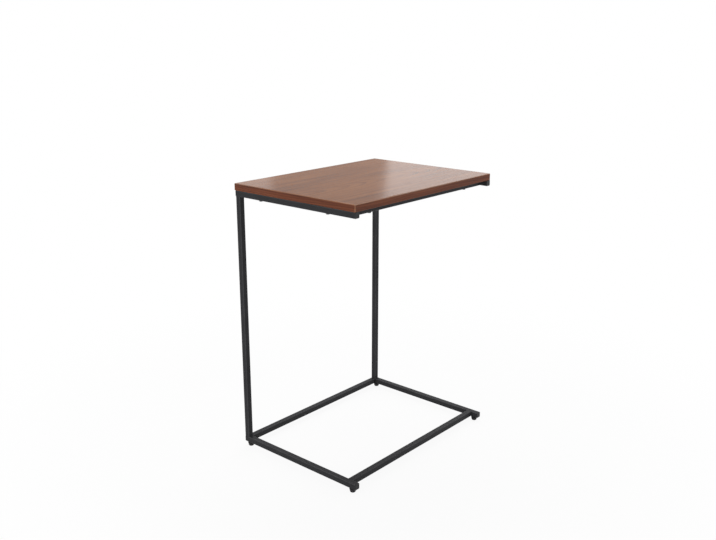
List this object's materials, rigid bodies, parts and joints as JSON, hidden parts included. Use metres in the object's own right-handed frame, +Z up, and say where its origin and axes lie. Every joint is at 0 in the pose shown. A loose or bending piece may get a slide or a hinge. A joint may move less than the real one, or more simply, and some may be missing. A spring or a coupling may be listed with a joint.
{
  "type": "c shaped side table",
  "caption": "C-shaped side table: a thin walnut-veneered board carried from one side by a black square-tube frame, whose open base slides under a seat and stands on screw-in feet.",
  "frame": {"origin": "on the floor, under the middle of the board and of the whole table", "axes": "+Z up, +X from the uprights to the open front of the C, +Y to the right-hand side seen from that front"},
  "size_m": [0.342, 0.464, 0.61],
  "materials": {
    "powder_coat": "fine satin black powder coat",
    "cap_plastic": "moulded black plastic",
    "foot_plastic": "moulded black plastic, fine texture",
    "zinc_steel": "bright zinc plate",
    "black_screw": "black zinc plate",
    "walnut_veneer": "reddish walnut veneer, satin lacquer",
    "walnut_edge": "reddish walnut edge band, satin lacquer",
    "backing_sheet": "brown balancing sheet",
    "board_core": "bare fibreboard"
  },
  "bodies": {
    "frame": {"bottom_cross_tube_back": "powder_coat", "bottom_cross_tube_front": "powder_coat", "bottom_rail_left": "powder_coat", "bottom_rail_right": "powder_coat", "cap_bottom_left_back": "cap_plastic", "cap_bottom_left_front": "cap_plastic", "cap_bottom_right_back": "cap_plastic", "cap_bottom_right_front": "cap_plastic", "cap_top_left_back": "cap_plastic", "cap_top_left_front": "cap_plastic", "cap_top_right_back": "cap_plastic", "cap_top_right_front": "cap_plastic", "edge_band_back": "walnut_edge", "edge_band_front": "walnut_edge", "edge_band_left": "walnut_edge", "edge_band_right": "walnut_edge", "foot_insert_left_back": "powder_coat", "foot_insert_left_front": "powder_coat", "foot_insert_right_back": "powder_coat", "foot_insert_right_front": "powder_coat", "tabletop_backing": "backing_sheet", "tabletop_core": "board_core", "tabletop_screws": "black_screw", "tabletop_veneer": "walnut_veneer", "top_cross_tube_back": "powder_coat", "top_cross_tube_front": "powder_coat", "top_rail_left": "powder_coat", "top_rail_right": "powder_coat", "upright_left": "powder_coat", "upright_right": "powder_coat"},
    "foot_left_front": {"foot_pad_left_front": "foot_plastic", "foot_stud_left_front": "zinc_steel"},
    "foot_left_back": {"foot_pad_left_back": "foot_plastic", "foot_stud_left_back": "zinc_steel"},
    "foot_right_front": {"foot_pad_right_front": "foot_plastic", "foot_stud_right_front": "zinc_steel"},
    "foot_right_back": {"foot_pad_right_back": "foot_plastic", "foot_stud_right_back": "zinc_steel"}
  },
  "joints": [
    {"name": "foot_left_front_screw_out", "type": "slide", "parent": "frame", "child": "foot_left_front", "axis": [0, 0, -1], "range_m": [0, 0.006]},
    {"name": "foot_left_back_screw_out", "type": "slide", "parent": "frame", "child": "foot_left_back", "axis": [0, 0, -1], "range_m": [0, 0.006]},
    {"name": "foot_right_front_screw_out", "type": "slide", "parent": "frame", "child": "foot_right_front", "axis": [0, 0, -1], "range_m": [0, 0.006]},
    {"name": "foot_right_back_screw_out", "type": "slide", "parent": "frame", "child": "foot_right_back", "axis": [0, 0, -1], "range_m": [0, 0.006]}
  ]
}
